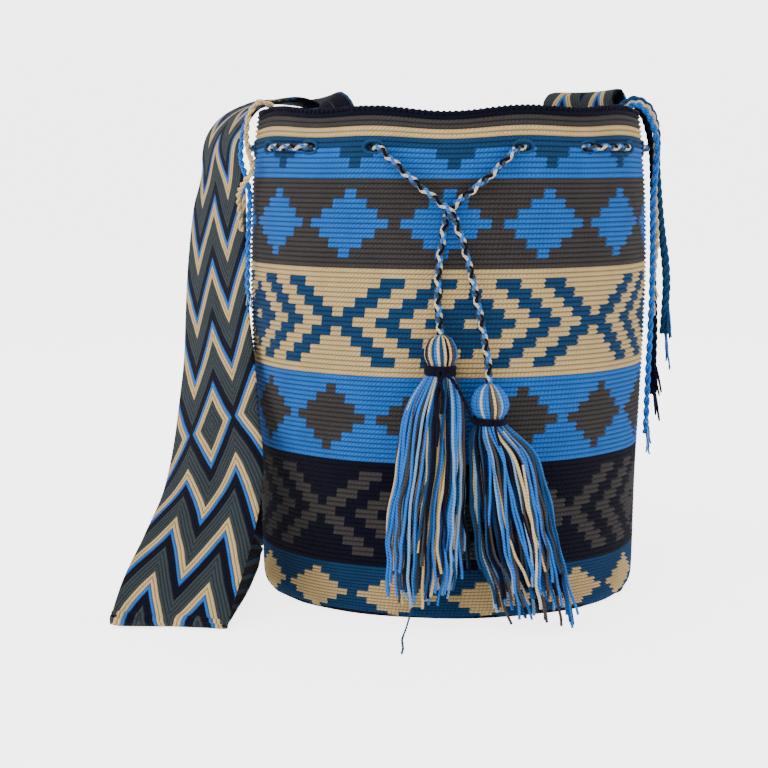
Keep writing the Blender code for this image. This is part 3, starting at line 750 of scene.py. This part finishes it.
drawstring = {
    "yarn": 0.00112, "reach": 0.00128, "cross": 0.00035, "pitch": 0.0155, "crossing": 0.26,
    "colours": ["blue", "navy", "cream", "strapGrey"],
    "outside": 0.1377, "inside": 0.1263, "step": 0.0065,
    # angle in degrees, radius and height in centimetres, from an eyelet to the crossing
    "leftFree": [
        (-18.1, 13.8, 30.4), (-15.2, 14.1, 29.75), (-11.8, 14.2, 29.0), (-8.2, 14.3, 28.2),
        (-4.4, 14.45, 27.4), (-1.0, 14.65, 26.8), (1.6, 14.7, 26.3),
    ],
    "rightFree": [
        (18.1, 13.8, 30.4), (15.4, 14.02, 29.7), (12.4, 14.1, 29.0), (8.2, 14.1, 28.1),
        (4.6, 14.1, 27.4), (1.6, 14.08, 26.8), (-0.5, 14.1, 26.3),
    ],
    # below the crossing, in centimetres
    "leftEnd": [
        (-0.15, -14.12, 25.8), (-0.3, -14.18, 25.0), (-0.45, -14.22, 24.0), (-0.58, -14.26, 22.8),
        (-0.64, -14.3, 21.6), (-0.62, -14.4, 20.4), (-0.52, -14.62, 19.4), (-0.44, -14.82, 18.7),
    ],
    "rightEnd": [
        (0.45, -14.7, 25.8), (0.75, -14.6, 25.0), (1.06, -14.5, 24.0), (1.4, -14.47, 22.7),
        (1.72, -14.47, 21.3), (2.0, -14.47, 20.0), (2.25, -14.5, 18.7), (2.46, -14.62, 17.5),
        (2.58, -14.8, 16.5), (2.62, -14.92, 15.62),
    ],
}


# Two strands wind one way and two the other way, each over one and under the next
def braided(line, start=0.0):
    side, up = lineFrames(line)
    along = lengths(line)
    made = []
    for k, name in enumerate(drawstring["colours"]):
        turn = 1 if k < 2 else -1
        swing = tau * along / drawstring["pitch"] + start
        angle = (turn * swing + math.pi * (k % 2))[:, None]
        reach = drawstring["reach"] + turn * drawstring["cross"] * np.cos(2 * swing)[:, None]
        ply = line + reach * (np.cos(angle) * side + np.sin(angle) * up)
        made.append(strand(ply, drawstring["yarn"], name))
    return made


# Through the eyelets from the left front one round the back, first inwards
def threadedLine():
    turn = drawstring["step"] / eyelets["radius"]
    outside, inside = drawstring["outside"], drawstring["inside"]
    angles = eyeletAngles()
    points = []
    for k, angle in enumerate(angles):
        before, after = (outside, inside) if k % 2 == 0 else (inside, outside)
        if k:
            points.append((angle + turn, before))
        points.append((angle, (outside + inside) / 2))
        if k < len(angles) - 1:
            points += [(angle - turn, after), ((angle + angles[k + 1]) / 2, after)]
    a, r = np.array(points).T
    return roundBag(a, r, eyelets["height"])


def freeLine(points):
    a, r, z = np.array(points).T
    return roundBag(np.radians(a), r * cm, z * cm)


leftFree = catmull(freeLine(drawstring["leftFree"][::-1]), 8)
rightFree = catmull(freeLine(drawstring["rightFree"]), 8)
meet = np.array([1, 1, 0])
height = np.array([0, 0, drawstring["crossing"]])
line = spaced(np.vstack([leftFree[0] * meet + height, leftFree, threadedLine(), rightFree,
                         rightFree[-1] * meet + height]), 0.004)
for smoothing in range(3):
    line[1:-1] = (line[:-2] + 2 * line[1:-1] + line[2:]) / 4
loopLine = spaced(line, 0.0014)
drawstringBraid = sweep("drawstringBraid", braided(loopLine), thinYarn, sides=6)
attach(drawstringBraid, "bag")
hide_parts("drawstring")
for side in ("left", "right"):
    line = spaced(catmull(np.array(drawstring[side + "End"]) * cm, 8), 0.0014)
    line = np.vstack([line[0] * meet + height, line])
    strands = braided(spaced(line, 0.0014), start=1.2)
    piece = sweep("drawstringEnd" + side.title(), strands, thinYarn, sides=6)
    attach(piece, "tassels")
    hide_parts("drawstring_end_" + side)


# Height, middle x, middle y, half width and half depth of each tassel, in centimetres
tassels = {
    "left": {
        "outline": [
            (18.62, -0.43, -14.87, 0.35, 0.35), (18.4, -0.43, -14.87, 0.75, 0.75),
            (17.95, -0.43, -14.87, 1.0, 1.0), (17.5, -0.43, -14.87, 1.06, 1.05),
            (17.1, -0.43, -14.87, 0.98, 0.98), (16.93, -0.43, -14.87, 0.82, 0.82),
            (16.07, -0.44, -14.9, 0.82, 0.82), (15.6, -0.5, -15.02, 1.3, 1.12),
            (14.15, -0.8, -15.17, 1.95, 1.33), (10.0, -1.1, -15.22, 2.35, 1.6),
            (5.9, -1.4, -15.32, 2.6, 1.8), (3.0, -1.5, -15.42, 2.65, 1.85),
            (1.5, -1.55, -15.42, 2.45, 1.7),
        ],
        "tie": (16.9, 16.1), "turns": 4, "tieYarn": 0.00105, "neck": (-0.435, -14.885, 0.83),
        # the knot's two tails, in centimetres from the middle of its front
        "tails": [[(-0.1, 0.05, 0.15), (0.18, -0.12, 0.0), (0.1, -0.2, -0.4), (-0.25, -0.3, -1.2),
                   (-0.3, -0.55, -2.2), (-0.1, -0.75, -3.3), (-0.25, -0.85, -4.6)],
                  [(0.15, 0.05, 0.2), (-0.15, -0.12, 0.0), (-0.1, -0.2, -0.5), (0.15, -0.32, -1.4),
                   (0.05, -0.6, -2.6)]],
        "ends": (1.4, 6.2), "seed": 11,
    },
    "right": {
        "outline": [
            (15.55, 2.63, -14.92, 0.38, 0.38), (15.25, 2.63, -14.92, 0.85, 0.85),
            (14.75, 2.65, -14.92, 1.16, 1.1), (14.3, 2.66, -14.94, 1.25, 1.15),
            (13.85, 2.66, -14.96, 1.12, 1.08), (13.63, 2.67, -14.98, 0.9, 0.9),
            (12.97, 2.68, -15.0, 0.9, 0.9), (12.5, 2.8, -15.07, 1.4, 1.2),
            (11.5, 3.5, -15.17, 2.1, 1.45), (7.35, 4.2, -15.27, 2.7, 1.7),
            (3.2, 5.1, -15.42, 2.75, 1.85), (1.5, 5.5, -15.72, 2.6, 1.8),
            (0.4, 5.7, -16.12, 2.35, 1.6),
        ],
        "tie": (13.6, 13.0), "turns": 3, "tieYarn": 0.00085, "neck": (2.675, -14.99, 0.91),
        "tails": [[(0.5, 0.08, 0.2), (0.3, -0.06, -0.05), (0.35, -0.2, -0.5), (0.6, -0.35, -1.4)]],
        "ends": (0.5, 4.6), "seed": 23,
    },
}
tasselColours = ["beige", "cream", "paleBlue", "blue", "teal", "grey", "lightGrey", "navy"]
tasselShares = [0.13, 0.05, 0.08, 0.22, 0.14, 0.22, 0.05, 0.11]
skirt = {"outer": 74, "inner": 44, "yarn": 0.00095, "headYarn": 0.0012, "headLoops": 30}


def outlineAt(outline, z):
    table = np.array(outline)[::-1]
    return [np.interp(z, table[:, 0], table[:, k]) for k in range(1, 5)]


def makeTassel(side):
    spec = tassels[side]
    draw = np.random.default_rng(spec["seed"])
    outline = spec["outline"]
    top, neck = outline[0][0], outline[6][0]
    strands = []
    for k in range(skirt["headLoops"]):
        crown = outline[2][0]
        z = np.concatenate([np.linspace(top, crown, 7), np.linspace(crown, neck, 9)[1:]])
        x, y, wide, deep = outlineAt(outline, z)
        phi = tau * (k + draw.uniform(-0.2, 0.2)) / skirt["headLoops"] + 0.25 * (top - z) / 3
        inner = skirt["headYarn"] / cm * 0.9
        line = np.stack([x + (wide - inner) * np.sin(phi), y - (deep - inner) * np.cos(phi), z],
                        axis=1) * cm
        name = draw.choice(tasselColours, p=tasselShares)
        strands.append(strand(line, skirt["headYarn"], name))
    for k in range(skirt["outer"] + skirt["inner"]):
        outer = k < skirt["outer"]
        count = skirt["outer"] if outer else skirt["inner"]
        phi = tau * (k % skirt["outer"] + draw.uniform(-0.5, 0.5)) / count
        low, high = spec["ends"]
        end = low + (high - low) * draw.beta(1.3, 1.5)
        s = np.linspace(0, 1, 30)
        z = neck + 0.15 + (end - neck - 0.15) * s
        x, y, wide, deep = outlineAt(outline, z)
        share = (draw.uniform(0.86, 1.0) if outer else draw.uniform(0.25, 0.8)) * (1 - 0.06 * s)
        waves = 0.17 * s * np.sin(tau * (s * draw.uniform(0.8, 1.6) + draw.uniform()))
        phi = phi + draw.normal(0, 0.26) * s
        line = np.stack([x + wide * share * np.sin(phi) + waves,
                         y - deep * share * np.cos(phi) + waves * draw.uniform(-0.7, 0.7), z],
                        axis=1) * cm
        for smoothing in range(4):      # rounds off the skirt's shoulder
            line[1:-1] = (line[:-2] + 2 * line[1:-1] + line[2:]) / 4
        line[:, 2] = np.maximum(line[:, 2], 0.0012)
        name = draw.choice(tasselColours, p=tasselShares)
        strands.append(strand(line, skirt["yarn"] * draw.uniform(0.85, 1.1), name, loose=s))
    piece = sweep("tasselYarns" + side.title(), strands, thinYarn, sides=6, wobble=0.012,
                  scale=34.0, seed=float(spec["seed"]))
    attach(piece, "tassels")
    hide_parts("tassel_" + side)

    x, y, radius = spec["neck"]
    turns, yarn = spec["turns"], spec["tieYarn"]
    t = np.linspace(0, 1, 26 * turns)
    high, low = (v * cm for v in spec["tie"])
    angle = tau * turns * t + 2.2
    radius = radius * cm + yarn * (1 + 0.25 * np.sin(3 * angle))
    wound = roundBag(angle, radius, high - yarn + (low - high + 2 * yarn) * t)
    wound += np.array([x, y, 0]) * cm
    front = np.array([x * cm, y * cm - radius.max() - yarn, (high + low) / 2])
    tails = [catmull(front + np.array(route) * cm, 6) for route in spec["tails"]]
    windings = [strand(wound, yarn, "navy")] + [strand(t, yarn, "navy") for t in tails]
    tie = sweep("tasselTie" + side.title(), windings, thickYarn, sides=8)
    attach(tie, "tassels")
    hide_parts("tassel_" + side + "_tie")


for side in ("left", "right"):
    makeTassel(side)


# name, CAD node, body, slot, diameter in metres, plies, their colours, far end and the route
looseCords = [
    ("linkYarn", "tassel_link_yarn", "tassels", "navy_yarn", 0.0026, 2, ["navy"], "object",
     [
         (-0.1, -16.18, 16.4), (0.3, -16.34, 16.0), (0.75, -16.4, 15.3), (1.1, -16.37, 14.6),
         (1.35, -16.24, 13.95), (1.5, -16.02, 13.4),
     ]),
    ("longStrand", "tassel_long_strand", "tassels", "teal_yarn", 0.0016, 2, ["teal"], "bare",
     [
         (-2.2, -15.52, 1.42), (-2.35, -15.92, 0.9), (-2.5, -16.52, 0.45), (-2.65, -17.32, 0.16),
         (-2.75, -18.42, 0.09), (-2.72, -19.62, 0.09), (-2.65, -20.82, 0.09), (-2.7, -22.22, 0.09),
     ]),
    ("endCordBeigeRight", "end_cord_beige_right", "bag", "beige_yarn", 0.0045, 2, ["beige"], "bare",
     [
         (12.44, 2.95, 33.35), (13.24, 2.6, 33.65), (13.99, 2.0, 33.2), (14.42, 1.6, 32.2),
         (14.49, 1.2, 30.9), (14.49, 0.8, 29.6), (14.36, 0.5, 28.2), (14.39, 0.4, 26.8),
         (14.49, 0.4, 25.2), (14.54, 0.4, 23.8), (14.42, 0.4, 22.6), (14.34, 0.4, 21.4),
         (14.29, 0.4, 20.2),
     ]),
    ("endCordTealRight", "end_cord_teal_right", "bag", "teal_yarn", 0.006, 3, ["teal"], "bare",
     [
         (12.24, 3.75, 33.45), (13.24, 3.5, 33.9), (14.24, 3.1, 33.2), (14.69, 2.9, 31.6),
         (14.69, 2.8, 29.9), (14.79, 2.7, 28.0), (14.94, 2.6, 26.2), (15.14, 2.5, 24.4),
         (15.39, 2.4, 22.6), (15.49, 2.4, 20.9), (15.44, 2.4, 19.2), (15.34, 2.4, 17.4),
     ]),
    ("endCordNavyRight", "end_cord_navy_right", "bag", "navy_yarn", 0.005, 3, ["navy"], "bare",
     [
         (12.09, 4.6, 33.35), (12.99, 4.45, 33.7), (13.84, 4.3, 32.9), (14.34, 4.1, 31.3),
         (14.54, 3.9, 29.6), (14.59, 3.7, 27.6), (14.59, 3.4, 25.6), (14.59, 3.1, 23.5),
         (14.59, 2.8, 21.4), (14.59, 1.9, 19.3), (14.59, 1.6, 17.2), (14.54, 1.4, 15.2),
         (14.49, 1.3, 13.2),
     ]),
    ("endCordBlueRight", "end_cord_blue_right", "bag", "blue_yarn", 0.0045, 2, ["blue"], "bare",
     [
         (12.49, 2.1, 33.3), (13.14, 1.5, 33.5), (13.74, 0.9, 33.0), (14.24, 0.3, 31.9),
         (14.46, -0.25, 30.4), (14.32, -0.5, 28.8), (14.16, -0.6, 26.8), (14.19, -0.6, 24.8),
         (14.19, -0.6, 22.6), (14.16, -0.6, 20.2), (14.09, -0.55, 17.6), (13.99, -0.5, 15.0),
         (13.94, -0.4, 12.6), (13.89, -0.3, 10.6),
     ]),
    ("endCordBeigeLeft", "end_cord_beige_left", "bag", "beige_yarn", 0.004, 2, ["beige"], "bare",
     [
         (-11.94, -2.6, 33.3), (-12.84, -2.9, 33.55), (-13.49, -3.2, 32.8), (-13.69, -3.6, 31.5),
         (-13.49, -4.6, 30.3), (-13.14, -5.6, 29.5), (-13.14, -5.9, 28.8), (-13.74, -5.2, 28.1),
         (-14.19, -4.1, 27.3), (-14.24, -3.1, 26.2), (-14.19, -2.5, 24.8),
     ]),
    ("endCordBlueLeft", "end_cord_blue_left", "bag", "blue_yarn", 0.004, 2, ["blue"], "bare",
     [
         (-12.14, -1.4, 33.3), (-13.04, -1.6, 33.6), (-13.69, -2.0, 32.8), (-14.09, -2.5, 31.2),
         (-14.14, -3.0, 29.7), (-13.69, -4.1, 28.5), (-13.39, -4.75, 27.4), (-13.44, -4.7, 26.2),
         (-13.49, -4.6, 25.0), (-13.54, -4.6, 23.6), (-13.59, -4.5, 22.2), (-13.64, -4.3, 20.6),
     ]),
]
# Yarns that hang from a cord's lower end: how many, length and spread in metres, how far up the
# cord they start, and whether they turn back up as loops
fringes = {
    "endCordTealRight": {"count": 16, "long": 0.030, "spread": 0.006, "start": 0.036,
                         "loops": False, "colours": ["teal", "teal", "blue"], "yarn": 0.0007},
    "endCordNavyRight": {"count": 12, "long": 0.024, "spread": 0.007, "start": 0.034,
                         "loops": True, "colours": ["navy"], "yarn": 0.0007},
    "endCordBlueRight": {"count": 9, "long": 0.018, "spread": 0.004, "start": 0.014,
                         "loops": False, "colours": ["blue", "paleBlue"], "yarn": 0.0007},
    "endCordBeigeRight": {"count": 7, "long": 0.016, "spread": 0.005, "start": 0.012,
                          "loops": False, "colours": ["beige", "cream"], "yarn": 0.0006},
    "endCordBlueLeft": {"count": 6, "long": 0.014, "spread": 0.003, "start": 0.010,
                        "loops": False, "colours": ["blue", "paleBlue"], "yarn": 0.0006},
}


def makeFringe(name, line):
    spec = fringes[name]
    draw = np.random.default_rng(len(name))
    along = lengths(line)
    strands = []
    for k in range(spec["count"]):
        at = along[-1] - draw.uniform(0.05, 1) * spec["start"]
        begin = np.array([np.interp(at, along, line[:, c]) for c in range(3)])
        t = np.linspace(0, 1, 16)
        long = spec["long"] * draw.uniform(0.6, 1)
        phi = draw.uniform(0, tau)
        spread = spec["spread"] * draw.uniform(0.3, 1)
        if spec["loops"]:
            away, down = np.sin(math.pi * t) ** 0.7, np.sin(math.pi * t)
            slide = (t - 0.5) * 0.003
        else:
            away, down, slide = t ** 0.7, t, 0.0012 * np.sin(5 * t + phi)
        fringe = begin + np.stack([
            spread * away * abs(np.sin(phi)) + slide * 0.3,
            -spread * away * np.cos(phi) + slide, -long * down], axis=1)
        strands.append(strand(fringe, spec["yarn"], spec["colours"][k % len(spec["colours"])],
                              loose=t if not spec["loops"] else 0.0))
    return sweep(name + "Fringe", strands, thinYarn, sides=5, wobble=0.004, scale=60.0, seed=3.0)


def makeLooseCord(name, node, body, slot, diameter, plies, names, farEnd, route):
    line = spaced(catmull(np.array(route) * cm, 8), 0.0015)
    plied = twisted(line, plies, 0.25 * diameter, 3.4 * diameter, 0.27 * diameter, names)
    piece = sweep(name, plied, thinYarn, sides=7)
    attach(piece, body)
    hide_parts(node)
    if name in fringes:
        fringe = makeFringe(name, line)
        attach(fringe, body)
    print(name, round(lengths(line)[-1], 3), "m long")


for cord in looseCords:
    makeLooseCord(*cord)


paper = {
    "roughness": 0.9,
    "glow": 0.7,                  # light that the paper gives the bag
    "seenGlow": 2.6,              # added to it for the camera, so that the paper looks white
}


# A pale floor that turns up into a wall far behind the bag
def makeFloor():
    maker = bmesh.new()
    bend = [(3.0 + 1.2 * math.sin(a), 1.2 - 1.2 * math.cos(a))
            for a in np.linspace(0, math.pi / 2, 13)]
    profile = [(-5.0, 0.0)] + bend + [(4.2, 5.0)]
    rows = [[maker.verts.new((x, y, z)) for x in (-6.0, 6.0)] for y, z in profile]
    for first, second in zip(rows, rows[1:]):
        maker.faces.new((first[0], first[1], second[1], second[0])).smooth = True
    paint = bpy.data.materials.new("palePaper")
    paint.use_nodes = True
    tree = paint.node_tree
    surface = tree.nodes["Principled BSDF"]
    surface.inputs["Roughness"].default_value = paper["roughness"]
    surface.inputs["Emission Color"].default_value = (1, 1, 1, 1)
    seen = tree.nodes.new("ShaderNodeLightPath").outputs["Is Camera Ray"]
    glow = maths(tree, "MULTIPLY_ADD", seen, paper["seenGlow"], paper["glow"])
    tree.links.new(glow, surface.inputs["Emission Strength"])
    tone = maths(tree, "MULTIPLY_ADD", fuzz(tree, 3.0), 0.02, 0.9)
    tree.links.new(shade(tree, (1, 1, 1, 1), tone), surface.inputs["Base Color"])
    return finishMesh("paleFloor", maker, paint)


makeFloor()
print("floor is laid")
